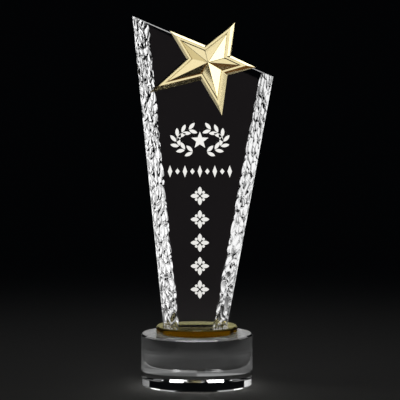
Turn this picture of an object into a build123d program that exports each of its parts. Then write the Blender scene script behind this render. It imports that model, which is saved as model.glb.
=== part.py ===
from build123d import *
import math
import os

# Star trophy: a clear crystal blade with a gold star on its front face, standing
# on an amber disc and a round crystal base. The pieces are joined by thin films of
# clear adhesive. Millimetres, +Z up, and the front faces -Y. The origin is the
# centre of the underside of the base.

# ---- Base block, clear crystal -------------------------------------------------
BASE_DIAMETER = 80.0
BASE_HEIGHT = 37.0
BASE_BEVEL = 1.0

# ---- Disc, amber crystal -------------------------------------------------------
DISC_DIAMETER = 58.4
DISC_THICKNESS = 5.4
DISC_BEVEL = 0.7

# ---- Adhesive films ------------------------------------------------------------
BOND_THICKNESS = 0.15
BOND_INSET = 1.6  # how far a film stops short of the edge of the smaller face

# ---- Blade, clear crystal slab with two sloping, chiselled sides ----------------
BLADE_THICKNESS = 20.0
FOOT_X = -1.0  # centre of the blade's foot, just left of the axis
FOOT_WIDTH = 46.8  # across the back of the foot
LEFT_HEIGHT = 221.2  # foot to the tall left corner, along Z
LEFT_LEAN = 5.63  # degrees that the left edge leans outwards
RIGHT_LEAN = 10.34
TOP_FALL = 23.3  # degrees that the top edge falls towards the right
LEFT_BAND = 10.6  # width of the chiselled side seen from the front
RIGHT_BAND = 9.6
CHIP_STATIONS = 30  # chisel strokes along each side
CHIP_ROWS = 3  # chisel strokes across each side
CHIP_DEPTH = 1.3

# ---- Star, gold-plated zinc casting ---------------------------------------------
STAR_X = 7.9  # apex across the blade, from the axis
STAR_BELOW_TOP = 8.6  # apex below the blade's top edge, along Z
STAR_LONG_ARM = 47.0  # apex to the tip of the longest arm
# Tips and notches in turn round the star: degrees from +X, share of the long arm.
STAR_OUTLINE = (
    (55.6, 0.722), (98.7, 0.247), (141.0, 0.740), (172.9, 0.323), (208.0, 1.000),
    (249.5, 0.300), (284.6, 0.840), (324.6, 0.361), (353.3, 0.726), (374.1, 0.362),
)
STAR_HEIGHT = 14.0  # back to apex
STAR_EDGE = 0.8  # upright edge round the back
STAR_WALL_HEIGHT = 4.4  # back to the flat frame at the top of the sloping wall
STAR_WALL_NARROW = 0.6  # width of the wall on the side where it is steepest
STAR_WALL_WIDE = 3.2  # and on the opposite side
STAR_WALL_TURN = -45.0  # degrees from +X to the side where the wall is widest
STAR_FRAME_WIDTH = 1.7
STAR_STEP_HEIGHT = 0.8  # step from the frame up to the foot of the crown
STAR_STEP_WIDTH = 0.4

# ---- Engraving on the front face, filled with white paint -----------------------
ENGRAVING_DEPTH = 0.4
ENGRAVING_X = 2.2  # centre line of the engraving, to the right of the axis
ENGRAVING_GAP = 6.6  # clear space between two motifs, and below the star
WREATH_HALF_WIDTH = 16.5
WREATH_HALF_HEIGHT = 8.6
WREATH_LEAVES = 7  # pairs of leaves on each branch
WREATH_LEAF = (6.2, 2.5)  # length and width
WREATH_STEM = 0.5  # between the inner tips of a pair of leaves
EMBLEM_RADIUS = 6.4  # tips of the five-pointed star inside the wreath
EMBLEM_NOTCH = 2.7
LOZENGE_COUNT = 9
LOZENGE_PITCH = 5.3
LOZENGE_SIZE = (3.2, 8.6)
ORNAMENT_PITCH = 17.0  # the column has as many ornaments as fit at about this pitch
ORNAMENT_MARGIN = 27.0  # foot of the blade to the centre of the lowest ornament
ORNAMENT_LEAF = (6.0, 3.0)
ORNAMENT_EYE = 0.6  # from an ornament's centre to the inner tip of a leaf
ORNAMENT_DOT = 2.0

# ---- Heights and planes that follow from the sizes above ------------------------
DISC_FOOT = BASE_HEIGHT + BOND_THICKNESS
BLADE_FOOT = DISC_FOOT + DISC_THICKNESS + BOND_THICKNESS
FRONT_Y = -BLADE_THICKNESS / 2
LEFT_SLOPE = math.tan(math.radians(LEFT_LEAN))
RIGHT_SLOPE = math.tan(math.radians(RIGHT_LEAN))
TOP_SLOPE = math.tan(math.radians(TOP_FALL))
LEFT_CORNER = (FOOT_X - FOOT_WIDTH / 2 - LEFT_HEIGHT * LEFT_SLOPE, BLADE_FOOT + LEFT_HEIGHT)


def top_height(x):
    """Height of the blade's sloping top face at x."""
    return LEFT_CORNER[1] - (x - LEFT_CORNER[0]) * TOP_SLOPE


STAR_Z = top_height(STAR_X) - STAR_BELOW_TOP
STAR_BACK_Y = FRONT_Y - BOND_THICKNESS


def facing_front(y):
    """A plane at y that looks towards the front, with its X to the right and its Y up."""
    return Plane(origin=(0, y, 0), x_dir=(1, 0, 0), z_dir=(0, -1, 0))


def polygon(points):
    """A flat face with these corners."""
    return Face(Wire.make_polygon([Vector(*point) for point in points]))


def polyhedron(faces):
    """A solid bounded by flat faces, each a list of corner points."""
    return Solid(Shell([polygon(points) for points in faces]))


# ---- Base and disc --------------------------------------------------------------
def round_block(diameter, height, bevel, foot):
    """A round block with a polished bevel on both rims."""
    block = Pos(0, 0, foot + height / 2) * Cylinder(diameter / 2, height)
    return chamfer(block.edges().filter_by(GeomType.CIRCLE), bevel)


def base_block():
    return round_block(BASE_DIAMETER, BASE_HEIGHT, BASE_BEVEL, 0)


def amber_disc():
    return round_block(DISC_DIAMETER, DISC_THICKNESS, DISC_BEVEL, DISC_FOOT)


def disc_bond():
    radius = DISC_DIAMETER / 2 - BOND_INSET
    return Pos(0, 0, BASE_HEIGHT + BOND_THICKNESS / 2) * Cylinder(radius, BOND_THICKNESS)


# ---- Blade ----------------------------------------------------------------------
def side_line(side, inset):
    """Foot and top points (x, z) of a line along one side, inset from the back edge."""
    slope = side * (LEFT_SLOPE if side < 0 else RIGHT_SLOPE)
    foot_x = FOOT_X + side * (FOOT_WIDTH / 2 - inset)
    # The line x = foot_x + slope * rise meets the top face at this rise.
    rise = (top_height(foot_x) - BLADE_FOOT) / (1 + slope * TOP_SLOPE)
    return (foot_x, BLADE_FOOT), (foot_x + slope * rise, BLADE_FOOT + rise)


def chip_bite(station, row):
    """How deep one chisel stroke bites, spread evenly by golden-ratio steps."""
    golden = (math.sqrt(5) - 1) / 2
    shallowest = 0.25
    share = (station * golden + row * golden**2) % 1
    return CHIP_DEPTH * (shallowest + (1 - shallowest) * share)


def side_grid(side, band):
    """Points on one chiselled side, from the foot up, each row from front to back."""
    grid = []
    for station in range(CHIP_STATIONS + 1):
        along = station / CHIP_STATIONS
        points = []
        for row in range(CHIP_ROWS + 1):
            across = row / CHIP_ROWS
            foot, top = side_line(side, band * (1 - across))
            bite = chip_bite(station, row) if row < CHIP_ROWS else 0
            x = foot[0] + (top[0] - foot[0]) * along - side * bite
            z = foot[1] + (top[1] - foot[1]) * along
            if station == CHIP_STATIONS:
                z = top_height(x)
            points.append((x, FRONT_Y + BLADE_THICKNESS * across, z))
        grid.append(points)
    return grid


def grid_triangles(grid):
    """Two triangles for each cell of a grid of points."""
    found = []
    for low, high in zip(grid, grid[1:]):
        for i in range(len(low) - 1):
            found.append([low[i], low[i + 1], high[i + 1]])
            found.append([low[i], high[i + 1], high[i]])
    return found


def blade_blank():
    """The blade before it is engraved."""
    left, right = side_grid(-1, LEFT_BAND), side_grid(1, RIGHT_BAND)
    faces = grid_triangles(left) + grid_triangles(right)
    for row in (0, CHIP_ROWS):  # front face, then back face
        faces.append([p[row] for p in left] + [p[row] for p in reversed(right)])
    for station in (0, CHIP_STATIONS):  # foot, then top
        faces.append(left[station] + list(reversed(right[station])))
    return polyhedron(faces)


def blade_bond():
    """Adhesive under the blade's foot, drawn in from the foot's four edges."""
    front, back = FRONT_Y + BOND_INSET, -FRONT_Y - BOND_INSET
    inset = CHIP_DEPTH + BOND_INSET
    corners = []
    for side, band, y in (
        (-1, LEFT_BAND, front), (1, RIGHT_BAND, front), (1, 0, back), (-1, 0, back),
    ):
        (x, _), _ = side_line(side, band + inset)
        corners.append((x, y, DISC_FOOT + DISC_THICKNESS))
    return Solid.extrude(polygon(corners), Vector(0, 0, BOND_THICKNESS))


# ---- Star -----------------------------------------------------------------------
def star_outline():
    """The star's corners (x, z), tips and notches in turn."""
    corners = []
    for degrees, arm in STAR_OUTLINE:
        reach, turn = STAR_LONG_ARM * arm, math.radians(degrees)
        corners.append((STAR_X + reach * math.cos(turn), STAR_Z + reach * math.sin(turn)))
    return corners


def edge_normal(start, end):
    """Outward unit normal of an edge of a shape whose corners turn anticlockwise."""
    across, up = end[0] - start[0], end[1] - start[1]
    length = math.hypot(across, up)
    return up / length, -across / length


def wall_widths(corners):
    """Width of the sloping wall at each edge, by which way the edge faces."""
    turn = math.radians(STAR_WALL_TURN)
    widths = []
    for i, end in enumerate(corners):
        nx, nz = edge_normal(corners[i - 1], end)
        facing = (1 + nx * math.cos(turn) + nz * math.sin(turn)) / 2
        widths.append(STAR_WALL_NARROW + (STAR_WALL_WIDE - STAR_WALL_NARROW) * facing)
    return widths


def drawn_in(corners, widths):
    """The shape with each edge moved inwards by its own width.

    Edge i runs from corner i - 1 to corner i. The moved edge is the line n . p = c, and
    the new corner i is where the moved edges i and i + 1 cross.
    """
    lines = []
    for i, end in enumerate(corners):
        nx, nz = edge_normal(corners[i - 1], end)
        lines.append((nx, nz, nx * end[0] + nz * end[1] - widths[i]))
    moved = []
    for (ax, az, ac), (bx, bz, bc) in zip(lines, lines[1:] + lines[:1]):
        cross = ax * bz - az * bx
        moved.append(((ac * bz - az * bc) / cross, (ax * bc - ac * bx) / cross))
    return moved


def raised(corners, height):
    """Corners (x, z) as points at a height off the star's back."""
    return [(x, STAR_BACK_Y - height, z) for x, z in corners]


def star_casting():
    """A star with a sloping wall, a flat frame, a small step and a faceted crown."""
    outline = star_outline()
    frame = drawn_in(outline, wall_widths(outline))
    crown = drawn_in(frame, [STAR_FRAME_WIDTH] * len(frame))
    crown_top = drawn_in(crown, [STAR_STEP_WIDTH] * len(crown))
    rings = [
        raised(outline, 0),
        raised(outline, STAR_EDGE),
        raised(frame, STAR_WALL_HEIGHT),
        raised(crown, STAR_WALL_HEIGHT),
        raised(crown_top, STAR_WALL_HEIGHT + STAR_STEP_HEIGHT),
    ]
    apex = (STAR_X, STAR_BACK_Y - STAR_HEIGHT, STAR_Z)
    faces = [rings[0]]
    corners = range(len(outline))
    for low, high in zip(rings, rings[1:]):
        faces += [[low[i - 1], low[i], high[i], high[i - 1]] for i in corners]
    faces += [[rings[-1][i - 1], rings[-1][i], apex] for i in corners]
    return polyhedron(faces)


def star_bond():
    """Adhesive where the star's flat back lies over the blade's front face."""
    outline = star_outline()
    under_star = polygon(drawn_in(outline, [BOND_INSET] * len(outline)))
    corners = []
    for side, band in ((-1, LEFT_BAND), (1, RIGHT_BAND)):
        (foot_x, foot_z), (top_x, top_z) = side_line(side, band + CHIP_DEPTH + BOND_INSET)
        corners += [(foot_x, foot_z), (top_x, top_z - BOND_INSET)][::-side]
    shape = under_star & polygon(corners)
    return extrude(facing_front(FRONT_Y) * shape, BOND_THICKNESS)


# ---- Engraving ------------------------------------------------------------------
def leaf(length, width):
    """A pointed leaf along +X from the origin, between two arcs."""
    upper = ThreePointArc((0, 0), (length / 2, width / 2), (length, 0))
    lower = ThreePointArc((length, 0), (length / 2, -width / 2), (0, 0))
    return make_face([upper, lower])


def emblem():
    """A regular five-pointed star."""
    points = []
    for k in range(10):
        reach, turn = (EMBLEM_NOTCH if k % 2 else EMBLEM_RADIUS), math.radians(90 + 36 * k)
        points.append((reach * math.cos(turn), reach * math.sin(turn)))
    return make_face(Polyline(*points, close=True))


def wreath():
    """Two mirrored branches of paired leaves that rise round an oval, and an emblem inside."""
    lowest, highest = -72, 62  # degrees round the oval
    flare = 34  # degrees between a leaf and its branch
    branch = []
    for k in range(WREATH_LEAVES):
        turn = math.radians(lowest + (highest - lowest) * k / (WREATH_LEAVES - 1))
        across, up = math.cos(turn), math.sin(turn)
        ahead = math.degrees(math.atan2(WREATH_HALF_HEIGHT * across, -WREATH_HALF_WIDTH * up))
        centre = Pos(WREATH_HALF_WIDTH * across, WREATH_HALF_HEIGHT * up)
        for hand in (-1, 1):
            stem = Pos(0, hand * WREATH_STEM / 2) * Rot(0, 0, hand * flare)
            branch.append(centre * Rot(0, 0, ahead) * stem * leaf(*WREATH_LEAF))
    return branch + [mirror(shape, Plane.YZ) for shape in branch] + [emblem()]


def lozenge_row():
    """A row of pointed lozenges, every second one half as tall."""
    width, height = LOZENGE_SIZE
    shapes = []
    for k in range(LOZENGE_COUNT):
        x = (k - (LOZENGE_COUNT - 1) / 2) * LOZENGE_PITCH
        rise = height / 2 if k % 2 == 0 else height / 4
        outline = [(x + width / 2, 0), (x, rise), (x - width / 2, 0), (x, -rise)]
        shapes.append(make_face(Polyline(*outline, close=True)))
    return shapes


def ornament():
    """Four leaves in a cross, with a dot between each two."""
    dot_out = ORNAMENT_EYE + ORNAMENT_LEAF[0] / 2
    shapes = []
    for turn in (0, 90, 180, 270):
        shapes.append(Rot(0, 0, turn) * Pos(ORNAMENT_EYE, 0) * leaf(*ORNAMENT_LEAF))
        shapes.append(Rot(0, 0, turn + 45) * Pos(dot_out, 0) * Circle(ORNAMENT_DOT / 2))
    return shapes


def engraving():
    """Each motif's shapes on the front face, set out downwards from the star."""
    lowest_tip = min(z for _, z in star_outline())
    wreath_reach = WREATH_HALF_HEIGHT + WREATH_LEAF[1]
    wreath_z = lowest_tip - ENGRAVING_GAP - wreath_reach
    row_z = wreath_z - wreath_reach - ENGRAVING_GAP - LOZENGE_SIZE[1] / 2
    ornament_reach = ORNAMENT_EYE + ORNAMENT_LEAF[0]
    top_z = row_z - LOZENGE_SIZE[1] / 2 - ENGRAVING_GAP - ornament_reach
    lowest_z = BLADE_FOOT + ORNAMENT_MARGIN
    gaps = max(1, round((top_z - lowest_z) / ORNAMENT_PITCH))
    column = [top_z + (lowest_z - top_z) * k / gaps for k in range(gaps + 1)]
    return {
        "wreath_fill": [Pos(ENGRAVING_X, wreath_z) * s for s in wreath()],
        "row_fill": [Pos(ENGRAVING_X, row_z) * s for s in lozenge_row()],
        "column_fill": [Pos(ENGRAVING_X, z) * s for z in column for s in ornament()],
    }


def infill(shapes):
    """Paint that fills the engraved shapes, flush with the front face."""
    return [extrude(facing_front(FRONT_Y) * shape, -ENGRAVING_DEPTH) for shape in shapes]


# ---- Assembly -------------------------------------------------------------------
def build_nodes():
    """Every piece by its name."""
    fills = {name: infill(shapes) for name, shapes in engraving().items()}
    nodes = {
        "base_block": base_block(),
        "disc_bond": disc_bond(),
        "amber_disc": amber_disc(),
        "blade_bond": blade_bond(),
        "crystal_blade": blade_blank() - [piece for fill in fills.values() for piece in fill],
        "star_bond": star_bond(),
        "star_casting": star_casting(),
    }
    nodes.update({name: Compound(children=fill) for name, fill in fills.items()})
    return nodes


os.makedirs("parts", exist_ok=True)
for name, shape in build_nodes().items():
    export_step(shape, f"parts/{name}.step")
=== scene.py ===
"""Star trophy: crystal, amber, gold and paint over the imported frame, and its stage.

The frame is in metres, +Z up, and the trophy's front faces -Y.
"""

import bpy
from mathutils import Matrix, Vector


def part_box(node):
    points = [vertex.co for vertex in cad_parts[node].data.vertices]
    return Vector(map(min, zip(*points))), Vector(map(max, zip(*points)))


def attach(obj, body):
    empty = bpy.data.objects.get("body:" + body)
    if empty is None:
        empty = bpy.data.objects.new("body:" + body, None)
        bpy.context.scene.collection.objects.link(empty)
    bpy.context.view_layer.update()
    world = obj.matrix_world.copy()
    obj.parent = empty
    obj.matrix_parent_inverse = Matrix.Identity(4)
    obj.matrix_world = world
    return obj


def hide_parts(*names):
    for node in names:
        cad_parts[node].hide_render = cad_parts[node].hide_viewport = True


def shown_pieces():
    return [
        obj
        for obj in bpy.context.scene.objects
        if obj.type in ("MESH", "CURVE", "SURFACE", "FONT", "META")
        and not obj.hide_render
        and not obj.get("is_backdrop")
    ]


bl_info = {
    "name": "Star Trophy",
    "version": (1, 0, 0),
    "blender": (4, 5, 0),
    "location": "3D View > Sidebar > Trophy",
    "description": "Finishes the star trophy's crystal, star and engraving, and sets its stage",
    "category": "Object",
}

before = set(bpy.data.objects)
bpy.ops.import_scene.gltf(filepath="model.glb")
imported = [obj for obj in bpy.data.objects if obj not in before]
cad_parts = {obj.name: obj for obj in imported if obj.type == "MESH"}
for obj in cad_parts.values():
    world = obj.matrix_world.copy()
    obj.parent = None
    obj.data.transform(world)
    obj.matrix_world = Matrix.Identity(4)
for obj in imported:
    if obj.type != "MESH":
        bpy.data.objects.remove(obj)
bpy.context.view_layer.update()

import math
from types import SimpleNamespace

import bmesh
import bpy
import numpy as np
from bpy.props import FloatProperty, FloatVectorProperty, PointerProperty
from mathutils import Quaternion, Vector

MM = 0.001
CONTACT = 0.02 * MM  # how far a film of adhesive reaches into its neighbours
PROUD = 0.02 * MM  # how far the paint stands proud of the polished front face
AIR_GAP = 0.05 * MM  # air left between the base's polished underside and the floor
JOIN = 0.005 * MM  # vertices of the star closer than this are one vertex
EDGE = 0.01 * MM  # vertices this close to an end of the blade's box lie on that end
LEFT, RIGHT = -1, 1  # the blade's two sides, by the direction of X
SLANT = {LEFT: 10.6 * MM, RIGHT: 9.6 * MM}  # a side's front edge stands this far inside its back
LIP = 0.3 * MM  # height of the lip left between two hollows, and how soon it dies out
LIP_FROM = 0.35 * MM  # hollows shallower than this have no lip
ROWS, COLUMNS = 600, 50  # points on a chiselled side, up the blade and from front to back
BACK_FADE = 1.2 * MM  # the hollows die out over this width before the back arris
TOP_EASE = 8 * MM  # the points this close to the top follow the sloping top face


def linear(code):
    """The linear colour, with alpha 1, of an sRGB hex code such as "f0e0c0"."""
    parts = [int(code[i:i + 2], 16) / 255 for i in (0, 2, 4)]
    return [c / 12.92 if c <= 0.04045 else ((c + 0.055) / 1.055) ** 2.4 for c in parts] + [1.0]


# ---- Settings -------------------------------------------------------------------
class CrystalSettings(bpy.types.PropertyGroup):
    """The crystal blade, base and disc."""

    tint: FloatVectorProperty(
        name="Tint", description="Colour of the clear crystal", subtype="COLOR",
        size=4, min=0, max=1, default=linear("fdfefe"))
    arris: FloatProperty(
        name="Arris", description="Width of the polished chamfer on the blade's straight edges",
        default=0.4 * MM, unit="LENGTH")
    chisel_depth: FloatProperty(
        name="Chisel depth", description="Depth of the deepest chisel stroke",
        default=1.7 * MM, unit="LENGTH")
    stroke_length: FloatProperty(
        name="Stroke length", description="Spacing of the chisel strokes up the blade",
        default=7.5 * MM, unit="LENGTH")
    stroke_width: FloatProperty(
        name="Stroke width", description="Spacing of the chisel strokes across a side",
        default=4.4 * MM, unit="LENGTH")
    base_bevel: FloatProperty(
        name="Base bevel", description="Polished bevel on the base's rims",
        default=1.0 * MM, unit="LENGTH")
    disc_bevel: FloatProperty(
        name="Disc bevel", description="Polished bevel on the disc's rims",
        default=0.7 * MM, unit="LENGTH")
    amber: FloatVectorProperty(
        name="Amber", description="Colour that the amber crystal lets through", subtype="COLOR",
        size=4, min=0, max=1, default=linear("eee276"))


class StarSettings(bpy.types.PropertyGroup):
    """The gold-plated star."""

    gold: FloatVectorProperty(
        name="Gold", description="Colour of the gold plate", subtype="COLOR",
        size=4, min=0, max=1, default=linear("f8e9b8"))
    arris: FloatProperty(
        name="Arris", description="Rounding that polishing leaves on the star's edges",
        default=0.22 * MM, unit="LENGTH")


class StageSettings(bpy.types.PropertyGroup):
    """Camera, floor and lights."""

    distance: FloatProperty(
        name="Distance", description="Camera in front of the trophy's axis",
        default=1.969, unit="LENGTH")
    height: FloatProperty(
        name="Height", description="Camera above the floor", default=0.309, unit="LENGTH")
    target: FloatVectorProperty(
        name="Target", description="Point that the camera looks at", subtype="XYZ",
        unit="LENGTH", size=3, default=(2.3 * MM, 0, 132.8 * MM))
    lens: FloatProperty(
        name="Lens", description="Focal length on a 36 mm sensor", default=249.0, unit="CAMERA")
    light: FloatProperty(
        name="Light", description="Strength of all the lights together", default=1.0,
        subtype="FACTOR", min=0, soft_max=2)
    floor: FloatVectorProperty(
        name="Floor", description="Colour of the floor", subtype="COLOR",
        size=4, min=0, max=1, default=linear("d9d8d4"))


# ---- Mesh helpers ---------------------------------------------------------------
def points_of(mesh):
    """The places of a mesh's vertices, one row of x, y and z each."""
    points = np.empty(3 * len(mesh.vertices))
    mesh.vertices.foreach_get("co", points)
    return points.reshape(-1, 3)


def new_mesh(name, vertices, faces, sharp=None):
    """A smooth-shaded mesh of these vertices and faces.

    sharp marks the vertices whose joining edges stay crisp, True or False for each. Without
    it, the edges that turn by more than 25 degrees are crisp.
    """
    mesh = bpy.data.meshes.new(name)
    mesh.from_pydata(vertices.tolist(), [], faces)
    if mesh.validate(verbose=False):
        raise RuntimeError(f"{name}: the mesh had faults")
    mesh.polygons.foreach_set("use_smooth", np.ones(len(mesh.polygons), dtype=bool))
    if sharp is None:
        mesh.set_sharp_from_angle(angle=math.radians(25))
    else:
        ends = np.empty(2 * len(mesh.edges), dtype=np.int32)
        mesh.edges.foreach_get("vertices", ends)
        crisp = sharp[ends.reshape(-1, 2)].all(axis=1)
        mesh.attributes.new("sharp_edge", "BOOLEAN", "EDGE").data.foreach_set("value", crisp)
    return mesh


def add_piece(mesh, materials, node):
    """Puts a mesh in the scene under its own name, as the piece that stands for a CAD node."""
    for material in materials:
        mesh.materials.append(material)
    piece = bpy.data.objects.new(mesh.name, mesh)
    bpy.context.scene.collection.objects.link(piece)
    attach(piece, "root")
    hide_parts(node)
    return piece


def grid_faces(rows, columns, first=0, flip=False, wrap=False):
    """Quads over a grid of points numbered row by row from first."""
    r, c = np.meshgrid(
        np.arange(rows - 1), np.arange(columns if wrap else columns - 1), indexing="ij")
    right = (c + 1) % columns
    corners = [
        r * columns + c, r * columns + right, (r + 1) * columns + right, (r + 1) * columns + c]
    quads = np.stack(corners[::-1] if flip else corners, axis=-1).reshape(-1, 4) + first
    return quads.tolist()


def turned(radii, heights, sides=192):
    """Vertices and faces of a solid turned about Z.

    The vertex at ring i and turn a is (r_i cos a, r_i sin a, z_i), for a profile that
    runs from the bottom up, and each end is closed by one flat face.
    """
    turn = np.linspace(0, 2 * np.pi, sides, endpoint=False)
    x = np.outer(radii, np.cos(turn))
    y = np.outer(radii, np.sin(turn))
    z = np.repeat(np.asarray(heights)[:, None], sides, axis=1)
    vertices = np.stack([x, y, z], axis=-1).reshape(-1, 3)
    faces = grid_faces(len(radii), sides, wrap=True)
    faces.append(list(range(sides))[::-1])
    faces.append(list(range((len(radii) - 1) * sides, len(radii) * sides)))
    return vertices, faces


def bevelled_block(name, node, bevel):
    """Mesh of a round block in a CAD node's box, with a flat bevel on both rims."""
    low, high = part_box(node)
    radius = high[0]
    radii = [radius - bevel, radius, radius, radius - bevel]
    heights = [low[2], low[2] + bevel, high[2] - bevel, high[2]]
    return new_mesh(name, *turned(radii, heights))


# ---- Materials ------------------------------------------------------------------
def new_material(name):
    """An empty node material and its tree."""
    material = bpy.data.materials.new(name)
    material.use_nodes = True
    material.node_tree.nodes.clear()
    return material, material.node_tree


def add_node(tree, kind, values=None, links=None, **settings):
    """Adds a node, sets its properties and input values, and links its inputs."""
    node = tree.nodes.new(kind)
    for name, value in settings.items():
        setattr(node, name, value)
    for name, value in (values or {}).items():
        node.inputs[name].default_value = value
    for name, source in (links or {}).items():
        tree.links.new(source, node.inputs[name])
    return node


def per_metre(size):
    """A texture's scale for features of this size in metres."""
    return 1 / size


def shell_ripples(tree, where, depth):
    """Bump of the shell-like cells that a chisel leaves inside its hollows.

    The cells are about 5.5 mm wide and 9 mm long up the blade, and their outlines wander by up
    to 4 mm. The height is 0 on an outline and reaches its full depth half a millimetre away.
    """
    drawn = add_node(tree, "ShaderNodeMapping", {"Scale": (1.0, 1.0, 0.6)}, {"Vector": where})
    stray = add_node(
        tree, "ShaderNodeTexNoise", {"Scale": per_metre(7 * MM), "Detail": 1.0},
        {"Vector": where})
    winding = add_node(
        tree, "ShaderNodeVectorMath", {1: (4 * MM, 4 * MM, 4 * MM)},
        {0: stray.outputs["Color"], 2: drawn.outputs["Vector"]}, operation="MULTIPLY_ADD")
    cells = add_node(
        tree, "ShaderNodeTexVoronoi", {"Scale": per_metre(5.5 * MM)},
        {"Vector": winding.outputs["Vector"]}, feature="DISTANCE_TO_EDGE")
    grooves = add_node(
        tree, "ShaderNodeMapRange", {"From Min": 0.0, "From Max": 0.1},
        {"Value": cells.outputs["Distance"]}, interpolation_type="SMOOTHSTEP")
    return add_node(
        tree, "ShaderNodeBump", {"Strength": 1.0, "Distance": depth},
        {"Height": grooves.outputs["Result"]})


def clear_crystal(name, colour, smear=0.012, ripple=0.0):
    """Optical crystal, cut and polished on a wheel: clear, heavy and bright at its edges.

    Faint smears of polish, about 14 mm across, vary the gloss up to a roughness of smear.
    ripple is the depth in metres of the chisel's shell marks.
    """
    material, tree = new_material(name)
    where = add_node(tree, "ShaderNodeTexCoord").outputs["Object"]
    smears = add_node(
        tree, "ShaderNodeTexNoise", {"Scale": per_metre(14 * MM), "Detail": 3.0},
        {"Vector": where})
    gloss = add_node(
        tree, "ShaderNodeMapRange",
        {"From Min": 0.35, "From Max": 0.75, "To Min": 0.0, "To Max": smear},
        {"Value": smears.outputs["Fac"]})
    links = {"Roughness": gloss.outputs["Result"]}
    if ripple:
        links["Normal"] = shell_ripples(tree, where, ripple).outputs["Normal"]
    shader = add_node(
        tree, "ShaderNodeBsdfPrincipled",
        {"Base Color": colour, "Transmission Weight": 1.0, "IOR": 1.5168}, links)
    add_node(tree, "ShaderNodeOutputMaterial", None, {"Surface": shader.outputs["BSDF"]})
    return material


def polished_crystal(tint):
    """The one material that the polished faces of the blade and the base share."""
    name = "polished_optical_crystal"
    return bpy.data.materials.get(name) or clear_crystal(name, tint)


def amber_crystal(name, colour, smear):
    """Crystal melted with iron and sulphur: yellow where it is thin, brown where it is deep."""
    material = clear_crystal(name, linear("fffdf6"), smear)
    tree = material.node_tree
    output = next(node for node in tree.nodes if node.type == "OUTPUT_MATERIAL")
    body = add_node(tree, "ShaderNodeVolumeAbsorption", {"Color": colour, "Density": 150.0})
    tree.links.new(body.outputs["Volume"], output.inputs["Volume"])
    return material


def clear_adhesive():
    """Acrylic adhesive cured by ultraviolet light: clear, with faint flow marks."""
    return clear_crystal("cured_clear_adhesive", linear("fbfdfa"), smear=0.04)


def gold_plate(colour):
    """Gold electroplated on a polished zinc casting: mirror-bright, with fine buffing marks.

    The buffing marks are about 2.5 mm long and a ninth as high, and the plate's colour drifts
    over about 11 mm.
    """
    material, tree = new_material("polished_gold_plate")
    where = add_node(tree, "ShaderNodeTexCoord").outputs["Object"]
    buffed = add_node(
        tree, "ShaderNodeMapping", {"Scale": (1.0, 1.0, 9.0), "Rotation": (0.0, 0.6, 0.0)},
        {"Vector": where})
    marks = add_node(
        tree, "ShaderNodeTexNoise", {"Scale": per_metre(2.5 * MM), "Detail": 4.0},
        {"Vector": buffed.outputs["Vector"]})
    clouds = add_node(
        tree, "ShaderNodeTexNoise", {"Scale": per_metre(11 * MM), "Detail": 3.0},
        {"Vector": where})
    tone = add_node(tree, "ShaderNodeValToRGB", None, {"Fac": clouds.outputs["Fac"]})
    deeper = (0.97, 0.94, 0.86, 1.0)
    tone.color_ramp.elements[0].color = [c * d for c, d in zip(colour, deeper)]
    tone.color_ramp.elements[1].color = colour
    gloss = add_node(
        tree, "ShaderNodeMapRange",
        {"From Min": 0.3, "From Max": 0.7, "To Min": 0.09, "To Max": 0.2},
        {"Value": marks.outputs["Fac"]})
    bump = add_node(
        tree, "ShaderNodeBump", {"Strength": 0.25, "Distance": 0.02 * MM},
        {"Height": marks.outputs["Fac"]})
    shader = add_node(
        tree, "ShaderNodeBsdfPrincipled", {"Metallic": 1.0},
        {"Base Color": tone.outputs["Color"], "Roughness": gloss.outputs["Result"],
         "Normal": bump.outputs["Normal"]})
    add_node(tree, "ShaderNodeOutputMaterial", None, {"Surface": shader.outputs["BSDF"]})
    return material


def white_paint():
    """White enamel wiped into sandblasted ornament: chalky, matt and a little uneven.

    The grit of the blasting shows through it at about half a millimetre.
    """
    material, tree = new_material("matt_white_enamel")
    where = add_node(tree, "ShaderNodeTexCoord").outputs["Object"]
    grit = add_node(
        tree, "ShaderNodeTexNoise", {"Scale": per_metre(0.5 * MM), "Detail": 4.0},
        {"Vector": where})
    tone = add_node(tree, "ShaderNodeValToRGB", None, {"Fac": grit.outputs["Fac"]})
    tone.color_ramp.elements[0].color = linear("e6e4de")
    tone.color_ramp.elements[1].color = linear("fdfcf9")
    bump = add_node(
        tree, "ShaderNodeBump", {"Strength": 0.5, "Distance": 0.05 * MM},
        {"Height": grit.outputs["Fac"]})
    shader = add_node(
        tree, "ShaderNodeBsdfPrincipled", {"Roughness": 0.6},
        {"Base Color": tone.outputs["Color"], "Normal": bump.outputs["Normal"]})
    add_node(tree, "ShaderNodeOutputMaterial", None, {"Surface": shader.outputs["BSDF"]})
    return material


def floor_paper(colour):
    """Seamless background paper: pale, matt and faintly fibrous."""
    material, tree = new_material("matt_background_paper")
    where = add_node(tree, "ShaderNodeTexCoord").outputs["Object"]
    fibres = add_node(
        tree, "ShaderNodeTexNoise", {"Scale": per_metre(3 * MM), "Detail": 3.0},
        {"Vector": where})
    bump = add_node(
        tree, "ShaderNodeBump", {"Strength": 0.1, "Distance": 0.1 * MM},
        {"Height": fibres.outputs["Fac"]})
    shader = add_node(
        tree, "ShaderNodeBsdfPrincipled", {"Base Color": colour, "Roughness": 0.9},
        {"Normal": bump.outputs["Normal"]})
    add_node(tree, "ShaderNodeOutputMaterial", None, {"Surface": shader.outputs["BSDF"]})
    return material


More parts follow.
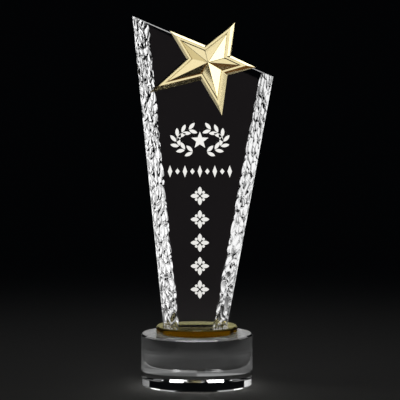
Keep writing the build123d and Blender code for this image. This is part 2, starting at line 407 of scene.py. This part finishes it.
# ---- Blade ----------------------------------------------------------------------
def chisel_bite(along, across, length, width, settings, random):
    """Depth of the chiselled hollows at each point of a side, in metres.

    along and across are the point's places on a side of this length and width. The strokes
    stand on a jittered grid. Each cuts h - p^2 / 2R - q^2 / 2S deep, where p and q are the
    distances along and across the stroke, and the deepest stroke wins at every point. Where
    the second deepest is nearly as deep, by a difference d, a lip is left that is LIP times
    exp(-(d / LIP)^2) high.
    """
    up = np.arange(0, length + settings.stroke_length, settings.stroke_length)
    over = np.arange(0, width + settings.stroke_width, settings.stroke_width)
    centre_u, centre_v = (m.ravel() for m in np.meshgrid(up, over, indexing="ij"))
    count = centre_u.size
    centre_u = centre_u + random.uniform(-0.5, 0.5, count) * settings.stroke_length
    centre_v = centre_v + random.uniform(-0.5, 0.5, count) * settings.stroke_width
    lean = random.normal(0, math.radians(30), count)
    long_radius = random.uniform(16, 45, count) * MM
    short_radius = random.uniform(3.0, 6.0, count) * MM
    deepest = settings.chisel_depth * random.uniform(0.45, 1.0, count)
    bite, runner_up = np.zeros_like(along), np.zeros_like(along)
    for i in range(count):
        du, dv = along - centre_u[i], across - centre_v[i]
        p = du * math.cos(lean[i]) + dv * math.sin(lean[i])
        q = dv * math.cos(lean[i]) - du * math.sin(lean[i])
        cut = deepest[i] - p**2 / (2 * long_radius[i]) - q**2 / (2 * short_radius[i])
        runner_up = np.maximum(runner_up, np.minimum(bite, cut))
        bite = np.maximum(bite, cut)
    lip = np.exp(-((bite - runner_up) / LIP)**2)
    return bite - LIP * lip * (bite > LIP_FROM)


def blade_outline():
    """The straight outline of the blade's back face, measured on the CAD node.

    Gives the low and high corners of the blade's box, where each side's foot stands in X,
    the top corner of each side, and the slope of the top, which is its rise over its run.
    """
    points = points_of(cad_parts["crystal_blade"].data)
    low, high = points.min(axis=0), points.max(axis=0)
    back = points[points[:, 1] > high[1] - EDGE]
    foot = back[back[:, 2] < low[2] + EDGE]
    top = {LEFT: back[np.argmin(back[:, 0])], RIGHT: back[np.argmax(back[:, 0])]}
    run, _, rise = top[RIGHT] - top[LEFT]
    return SimpleNamespace(
        low=low, high=high, foot_x={LEFT: foot[:, 0].min(), RIGHT: foot[:, 0].max()},
        top=top, slope=rise / run)


def side_points(side, outline, settings, random):
    """Points of a chiselled side: rows from the foot up, columns from front to back.

    A column stands at its share of the way to the back, and there the side is SLANT times
    the rest of the way inside the back edge. The column is the line x = its foot + lean
    times the height, up to where it meets the sloping top. The hollows move its points
    inward, the last ones near the top slide up or down to stay on the top face, and an
    arris is taken off the back edge and the top corners.
    """
    front, back, foot = outline.low[1] + PROUD, outline.high[1], outline.low[2]
    thickness = back - front
    arris, corner = settings.arris, outline.top[side]

    def top_height(x):
        return outline.top[LEFT][2] + outline.slope * (x - outline.top[LEFT][0])

    lean = (corner[0] - outline.foot_x[side]) / (corner[2] - foot)
    middle = np.linspace(arris, thickness - arris, COLUMNS - 2)[1:]
    across = np.concatenate([[0, arris], middle, [thickness]])
    base_x = outline.foot_x[side] - side * SLANT[side] * (1 - across / thickness)
    rise = (top_height(base_x) - foot) / (1 - outline.slope * lean)
    z = foot + np.linspace(0, 1, ROWS)[:, None] * rise
    bite = chisel_bite(
        z - foot, np.broadcast_to(across, z.shape), rise.max(), thickness, settings, random)
    fade = np.clip((thickness - arris - across) / BACK_FADE, 0, 1)
    x = base_x + lean * (z - foot) - side * bite * fade
    ease = np.clip((z - (z[-1] - TOP_EASE)) / TOP_EASE, 0, 1)
    z = z + ease * (top_height(x[-1]) - z[-1])
    y = np.broadcast_to(front + across, z.shape)
    x[:, -1] -= side * arris
    z[-1, 0] -= arris
    z[-1, -1] = top_height(x[-1, -1]) - arris
    return np.stack([x, y, z], axis=-1)


def blade_faces():
    """The blade's faces: the two chiselled sides, and then the six polished faces round them.

    KNOWN FAULT: the polished faces face outward, but both sides face inward, so light crosses
    them as if the crystal were outside. To repair it, swap the two flips. The mesh is then
    closed, but the sides turn dim grey, so the blade's lights have to be set again.
    """
    left, right = np.arange(2 * ROWS * COLUMNS).reshape(2, ROWS, COLUMNS)
    sides = (
        grid_faces(ROWS, COLUMNS, 0, flip=False)
        + grid_faces(ROWS, COLUMNS, ROWS * COLUMNS, flip=True))
    polished = (
        (left[::-1, 0], right[:, 0]),  # front
        (left[:, -1], right[::-1, -1]),  # back
        (left[0, :], right[0, ::-1]),  # foot
        (left[-1, 1:-1][::-1], right[-1, 1:-1]),  # top
        (right[-1, :2], left[-1, 1::-1]),  # arris between the front and the top
        (right[-1, -2:], left[-1, :-3:-1]),  # arris between the back and the top
    )
    return sides, [np.concatenate(halves).tolist() for halves in polished]


class TROPHY_OT_blade(bpy.types.Operator):
    """Makes the crystal blade with its two chiselled sides"""

    bl_idname = "trophy.crystal_blade"
    bl_label = "Crystal Blade"

    def execute(self, context):
        settings = context.scene.trophy_crystal
        outline = blade_outline()
        random = np.random.default_rng(11)  # a fixed seed, so each run cuts the same strokes
        points = np.stack(
            [side_points(side, outline, settings, random) for side in (LEFT, RIGHT)])
        sides, polished = blade_faces()
        sharp = np.zeros((2, ROWS, COLUMNS), dtype=bool)
        sharp[:, :, [0, -2, -1]] = True
        sharp[:, [0, -1], :] = True
        mesh = new_mesh(
            "crystal_blade_cut", points.reshape(-1, 3), sides + polished, sharp.ravel())
        chiselled = [1] * len(sides) + [0] * len(polished)
        mesh.polygons.foreach_set("material_index", np.array(chiselled, dtype=np.int32))
        materials = [
            polished_crystal(settings.tint),
            clear_crystal(
                "chiselled_optical_crystal", settings.tint, smear=0.02, ripple=0.1 * MM)]
        add_piece(mesh, materials, "crystal_blade")
        return {"FINISHED"}


# ---- Base and disc --------------------------------------------------------------
class TROPHY_OT_base(bpy.types.Operator):
    """Makes the round crystal base block and the amber disc"""

    bl_idname = "trophy.base_and_disc"
    bl_label = "Base and Disc"

    def execute(self, context):
        settings = context.scene.trophy_crystal
        base = bevelled_block("base_block_polished", "base_block", settings.base_bevel)
        add_piece(base, [polished_crystal(settings.tint)], "base_block")

        disc = bevelled_block("amber_disc_polished", "amber_disc", settings.disc_bevel)
        low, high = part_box("amber_disc")
        centres = np.empty(3 * len(disc.polygons))
        disc.polygons.foreach_get("center", centres)
        middle = (low[2] + high[2]) / 2
        ground = np.abs(centres.reshape(-1, 3)[:, 2] - middle) < 0.5 * MM
        disc.polygons.foreach_set("material_index", ground.astype(np.int32))
        materials = [
            amber_crystal("polished_amber_crystal", settings.amber, 0.012),
            amber_crystal("ground_amber_crystal", settings.amber, 0.15)]
        add_piece(disc, materials, "amber_disc")
        return {"FINISHED"}


# ---- Adhesive -------------------------------------------------------------------
class TROPHY_OT_bonds(bpy.types.Operator):
    """Makes the three films of clear adhesive"""

    bl_idname = "trophy.bonds"
    bl_label = "Adhesive Films"

    def execute(self, context):
        adhesive = clear_adhesive()
        low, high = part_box("disc_bond")
        radii = [(high[0] - low[0]) / 2] * 2
        film = new_mesh(
            "disc_bond_film", *turned(radii, [low[2] - CONTACT, high[2] + CONTACT]))
        add_piece(film, [adhesive], "disc_bond")
        for node, axis in (("blade_bond", 2), ("star_bond", 1)):
            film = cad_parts[node].data.copy()
            film.name = f"{node}_film"
            points = points_of(film)
            middle = (points[:, axis].min() + points[:, axis].max()) / 2
            points[:, axis] += np.where(points[:, axis] > middle, CONTACT + PROUD, -CONTACT)
            film.vertices.foreach_set("co", points.ravel())
            film.materials.clear()
            add_piece(film, [adhesive], node)
        return {"FINISHED"}


# ---- Star -----------------------------------------------------------------------
class TROPHY_OT_star(bpy.types.Operator):
    """Makes the gold-plated star with polished, slightly rounded edges"""

    bl_idname = "trophy.star"
    bl_label = "Gold Star"

    def execute(self, context):
        settings = context.scene.trophy_star
        work = bmesh.new()
        work.from_mesh(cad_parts["star_casting"].data)
        bmesh.ops.remove_doubles(work, verts=work.verts, dist=JOIN)
        bmesh.ops.dissolve_limit(
            work, angle_limit=math.radians(1), verts=work.verts, edges=work.edges)
        bmesh.ops.recalc_face_normals(work, faces=work.faces)
        mesh = bpy.data.meshes.new("star_casting_plated")
        work.to_mesh(mesh)
        work.free()
        piece = add_piece(mesh, [gold_plate(settings.gold)], "star_casting")
        edge = piece.modifiers.new("Polished arris", "BEVEL")
        edge.width = settings.arris
        edge.segments = 3
        edge.limit_method = "ANGLE"
        edge.angle_limit = math.radians(8)
        return {"FINISHED"}


# ---- Engraving ------------------------------------------------------------------
class TROPHY_OT_engraving(bpy.types.Operator):
    """Paints the three groups of engraved motifs"""

    bl_idname = "trophy.engraving"
    bl_label = "Engraving"

    def execute(self, context):
        paint = white_paint()
        for node in ("wreath_fill", "row_fill", "column_fill"):
            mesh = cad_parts[node].data
            mesh.materials.clear()
            mesh.materials.append(paint)
        return {"FINISHED"}


# ---- Stage ----------------------------------------------------------------------
def aim(thing, target):
    """Turns a light or camera so that it looks at a point."""
    thing.rotation_mode = "QUATERNION"
    thing.rotation_quaternion = (Vector(target) - thing.location).to_track_quat("-Z", "Y")


def light_groups():
    """One collection of receivers for each group of pieces that has its own lights."""
    belongs = {
        "blade": ("crystal_blade_cut", "blade_bond_film", "star_bond_film"),
        "base": ("base_block_polished", "disc_bond_film"),
        "disc": ("amber_disc_polished",),
        "star": ("star_casting_plated",),
        "paint": ("wreath_fill", "row_fill", "column_fill"),
    }
    groups = {name: bpy.data.collections.new(f"{name} lights' receivers") for name in belongs}
    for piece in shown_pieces():
        for name, members in belongs.items():
            if piece.name in members:
                groups[name].objects.link(piece)
    return groups


def fade_edges(data, share):
    """Makes a panel fade out over this share of its half-width and half-height.

    The strength is a smooth step of how far a point lies from the nearest edge, which is 1 less
    the larger of |2u - 1| and |2v - 1| for a point at (u, v) on the panel.
    """
    data.use_nodes = True
    tree = data.node_tree
    place = add_node(tree, "ShaderNodeNewGeometry").outputs["Parametric"]
    centred = add_node(
        tree, "ShaderNodeVectorMath", {1: (2, 2, 0), 2: (-1, -1, 0)}, {0: place},
        operation="MULTIPLY_ADD")
    reach = add_node(
        tree, "ShaderNodeVectorMath", None, {0: centred.outputs["Vector"]}, operation="ABSOLUTE")
    ways = add_node(tree, "ShaderNodeSeparateXYZ", None, {"Vector": reach.outputs["Vector"]})
    larger = add_node(
        tree, "ShaderNodeMath", None, {0: ways.outputs["X"], 1: ways.outputs["Y"]},
        operation="MAXIMUM")
    strength = add_node(
        tree, "ShaderNodeMapRange", {"From Min": 1.0, "From Max": 1.0 - share},
        {"Value": larger.outputs["Value"]}, interpolation_type="SMOOTHSTEP")
    emission = next(node for node in tree.nodes if node.type == "EMISSION")
    tree.links.new(strength.outputs["Result"], emission.inputs["Strength"])


def softbox(name, group, place, target, size, radiance, colour=(1, 1, 1), roll=0.0, fade=0.0):
    """A rectangular soft light that isn't seen directly and lights one group of pieces.

    The radiance is that of the panel's surface, where 1 shows as white: a flat panel of
    area A with power P has the radiance P / (pi A). The roll turns it in its own plane, and
    fade is the share of its half-width and half-height over which it fades out.
    """
    data = bpy.data.lights.new(name, "AREA")
    data.shape = "RECTANGLE"
    data.size, data.size_y = size
    data.color = colour
    power = bpy.context.scene.trophy_stage.light
    data.energy = radiance * math.pi * size[0] * size[1] * power
    if fade:
        fade_edges(data, fade)
    light = bpy.data.objects.new(name, data)
    light.location = place
    aim(light, target)
    light.rotation_quaternion = light.rotation_quaternion @ Quaternion((0, 0, 1), roll)
    light.visible_camera = False
    bpy.context.scene.collection.objects.link(light)
    light.light_linking.receiver_collection = group
    return light


def card(name, group, place, size, radiance, colour=(1, 1, 1), fade=0.0):
    """A softbox that lies on the floor and faces up, centred on a place (x, y)."""
    return softbox(name, group, (*place, 3 * MM), (*place, 1), size, radiance, colour, fade=fade)


def light_blade(group):
    """White at both sides, grey behind them, and dark straight behind the blade."""
    card("blade_card_right", group, (0.82, -0.12), (1.46, 1.0), 0.95, fade=0.3)
    card("blade_card_left", group, (-0.83, -0.17), (1.46, 1.0), 1.2, fade=0.4)
    softbox(
        "blade_wall_right", group, (1.5, -0.15, 0.2), (0, -0.15, 0.2), (1.2, 0.55), 0.9, fade=0.5)
    softbox(
        "blade_wall_left", group, (-1.5, -0.2, 0.35), (0, -0.2, 0.35), (1.2, 0.9), 1.35, fade=0.5)
    card("blade_card_rear_left", group, (-0.95, 0.7), (1.7, 1.1), 0.5, fade=0.5)
    card("blade_card_rear_right", group, (0.95, 0.7), (1.7, 1.1), 0.3, fade=0.5)
    softbox(
        "blade_front", group, (0, -0.3, 0.03), (0, 0, 0.03), (0.6, 0.36), 0.105, (1, 0.84, 0.87),
        roll=math.radians(-26))
    # A strip just behind and above the sloping top edge, and as long as it.
    behind, above, width = 0.013, 4.8 * MM, 10 * MM
    top = blade_outline().top
    left, right = (Vector((top[side][0], behind, top[side][2] + above)) for side in (LEFT, RIGHT))
    centre = (left + right) / 2
    softbox(
        "blade_top_edge", group, centre, centre + Vector((0, -1, 0)),
        ((right - left).length, width), 0.4, roll=math.atan2(left.z - right.z, right.x - left.x))


def light_base(group):
    """A soft glow on the floor behind the base, an arch of light over it and two side bars."""
    card("base_glow_near", group, (-0.01, 0.056), (0.24, 0.024), 0.1)
    card("base_glow_near_right", group, (0.025, 0.058), (0.05, 0.028), 0.2)
    card("base_glow_far", group, (0, 0.12), (0.5, 0.14), 0.02, fade=0.6)
    card("base_glow_far_right", group, (0.085, 0.1), (0.16, 0.12), 0.11, fade=0.9)
    card("base_glow_far_left", group, (-0.085, 0.1), (0.16, 0.12), 0.06, fade=0.9)
    card("base_glow_front", group, (0, -0.2), (0.3, 0.25), 0.15)
    softbox("base_overhead", group, (0, 0.42, 0.72), (0, 0, 0.02), (1.7, 1.0), 1.5)
    softbox("base_rim_key", group, (0, -0.1, 0.8), (0, 0, 0.02), (0.9, 0.15), 7.0)
    softbox("base_bar_left", group, (-0.87, 0.5, 0.24), (0, 0, 0.02), (0.5, 0.26), 0.85)
    softbox("base_bar_right", group, (0.87, 0.5, 0.24), (0, 0, 0.02), (0.5, 0.26), 0.3)
    softbox("base_sheen", group, (0, 0.1, 0.058), (0, 0, 0.058), (0.13, 0.03), 0.45)


def light_disc(group):
    """An even glow behind the disc, bright low sides, and a sheen on its top."""
    softbox("disc_glow", group, (0, 0.5, 0.1), (0, 0, 0.1), (1.2, 0.24), 0.03)
    softbox(
        "disc_sheen", group, (0, 0.1, 0.062), (0, 0, 0.062), (0.13, 0.03), 0.33, (1, 0.95, 0.45))
    softbox("disc_left", group, (-0.5, 0.05, 0.1), (0, 0, 0.05), (0.6, 0.2), 0.3)
    softbox("disc_right", group, (0.5, 0.05, 0.1), (0, 0, 0.05), (0.6, 0.2), 0.3)


def light_star(group):
    """White at its right, pale above, and dark and warm beneath it."""
    middle = (0, 0, 0.21)
    card("star_card_right", group, (0.86, -0.12), (1.28, 0.75), 2.0)
    softbox("star_wall_right", group, (1.5, -0.15, 0.2), (0, -0.15, 0.2), (0.9, 0.4), 2.0)
    card("star_card_left", group, (-0.93, -0.17), (1.14, 0.75), 0.7, (1, 0.95, 0.8))
    softbox("star_wall_left", group, (-1.5, -0.2, 0.35), (0, -0.2, 0.35), (0.9, 0.7), 1.0)
    card("star_card_rear_left", group, (-0.5, 0.42), (0.4, 0.4), 0.7, (1, 0.85, 0.5))
    card("star_card_under", group, (0, 0), (0.44, 0.9), 0.1, (1, 0.42, 0.05))
    softbox("star_upper_right", group, (0.5, 0.28, 1.25), middle, (0.6, 0.6), 0.95)
    softbox("star_upper_rear", group, (0.3, 0.8, 0.9), middle, (0.55, 0.5), 2.2)
    softbox("star_upper_left", group, (-0.85, -0.23, 1.02), middle, (0.9, 0.85), 1.0)
    softbox("star_front", group, (0, -1.5, 0.15), (0, 0, 0.15), (1.7, 0.5), 1.0)


def add_floor(colour):
    """A sheet of paper 60 m square, just below the trophy's polished underside.

    The air between them keeps the underside reflecting totally, as it does on a table.
    """
    half = 30.0
    corners = [(-half, -half), (half, -half), (half, half), (-half, half)]
    mesh = bpy.data.meshes.new("floor")
    mesh.from_pydata([(x, y, -AIR_GAP) for x, y in corners], [], [(0, 1, 2, 3)])
    mesh.materials.append(floor_paper(colour))
    floor = bpy.data.objects.new("floor", mesh)
    bpy.context.scene.collection.objects.link(floor)
    floor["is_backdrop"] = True


def light_floor(power):
    """A dim pool of light on the floor, in a nearly dark room."""
    data = bpy.data.lights.new("floor_pool", "SPOT")
    data.energy = 1.2 * power
    data.spot_size = math.radians(46)
    data.spot_blend = 1.0
    data.shadow_soft_size = 0.2
    pool = bpy.data.objects.new("floor_pool", data)
    pool.location = (0, -0.1, 1.5)
    aim(pool, (0, 0, 0))
    bpy.context.scene.collection.objects.link(pool)

    room = bpy.data.worlds.new("dim_room")
    room.use_nodes = True
    background = room.node_tree.nodes["Background"]
    background.inputs["Color"].default_value = linear("20242a")
    background.inputs["Strength"].default_value = 0.08
    bpy.context.scene.world = room


class TROPHY_OT_stage(bpy.types.Operator):
    """Makes the floor, the soft lights and the camera"""

    bl_idname = "trophy.stage"
    bl_label = "Stage"

    def execute(self, context):
        scene = context.scene
        settings = scene.trophy_stage
        add_floor(settings.floor)
        groups = light_groups()
        light_blade(groups["blade"])
        light_base(groups["base"])
        light_disc(groups["disc"])
        light_star(groups["star"])
        softbox("paint_key", groups["paint"], (0.3, -1.1, 1.1), (0, 0, 0.14), (0.7, 0.7), 20)
        light_floor(settings.light)

        data = bpy.data.cameras.new("camera")
        data.lens = settings.lens
        data.sensor_width = 36
        camera = bpy.data.objects.new("camera", data)
        camera.location = (0, -settings.distance, settings.height)
        aim(camera, settings.target)
        scene.collection.objects.link(camera)
        scene.camera = camera
        scene.view_settings.view_transform = "Standard"
        scene.cycles.max_bounces = 24
        scene.cycles.transmission_bounces = 24
        scene.cycles.glossy_bounces = 8
        return {"FINISHED"}


# ---- Add-on ---------------------------------------------------------------------
class TROPHY_PT_panel(bpy.types.Panel):
    """Lists the trophy's settings and steps"""

    bl_label = "Star Trophy"
    bl_space_type = "VIEW_3D"
    bl_region_type = "UI"
    bl_category = "Trophy"

    def draw(self, context):
        for name, group in SETTINGS.items():
            box = self.layout.box()
            for field in group.__annotations__:
                box.prop(getattr(context.scene, name), field)
        for step in STEPS:
            self.layout.operator(step.bl_idname)


SETTINGS = {
    "trophy_crystal": CrystalSettings,
    "trophy_star": StarSettings,
    "trophy_stage": StageSettings,
}
STEPS = (
    TROPHY_OT_blade, TROPHY_OT_base, TROPHY_OT_bonds, TROPHY_OT_star, TROPHY_OT_engraving,
    TROPHY_OT_stage,
)


def register():
    for cls in (*SETTINGS.values(), *STEPS, TROPHY_PT_panel):
        bpy.utils.register_class(cls)
    for name, group in SETTINGS.items():
        setattr(bpy.types.Scene, name, PointerProperty(type=group))


def unregister():
    for name in SETTINGS:
        delattr(bpy.types.Scene, name)
    for cls in (TROPHY_PT_panel, *reversed(STEPS), *reversed(SETTINGS.values())):
        bpy.utils.unregister_class(cls)


def main():
    """Runs every step in order."""
    register()
    for step in STEPS:
        group, name = step.bl_idname.split(".")
        getattr(getattr(bpy.ops, group), name)()


if __name__ == "__main__":
    main()
